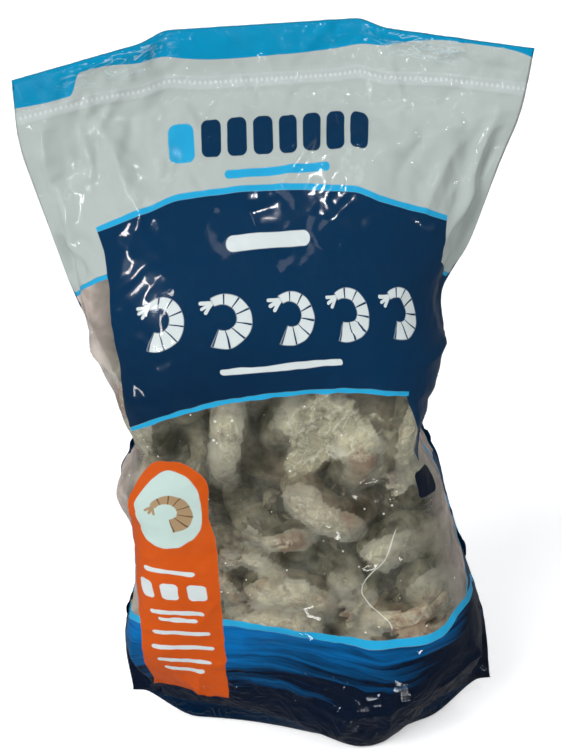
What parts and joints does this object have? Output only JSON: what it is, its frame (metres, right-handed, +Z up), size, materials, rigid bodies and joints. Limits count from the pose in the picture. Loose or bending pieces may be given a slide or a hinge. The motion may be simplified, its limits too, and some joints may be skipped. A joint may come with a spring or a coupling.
{
  "type": "bag of frozen raw shrimp",
  "caption": "Sealed stand-up pouch of frozen raw shell-on shrimp, with a printed header, a clear window, a zip below the top seal and a folded base that it stands on.",
  "frame": {"origin": "middle of the flat resting face of the folded base", "axes": "+Z up along the pouch, -Y out of the printed front, +X to the right as seen from the front"},
  "size_m": [0.2412, 0.1048, 0.367],
  "materials": {
    "film": "gloss",
    "shrimp": "frosted"
  },
  "bodies": {
    "root": {"bag": "film"}
  },
  "joints": []
}
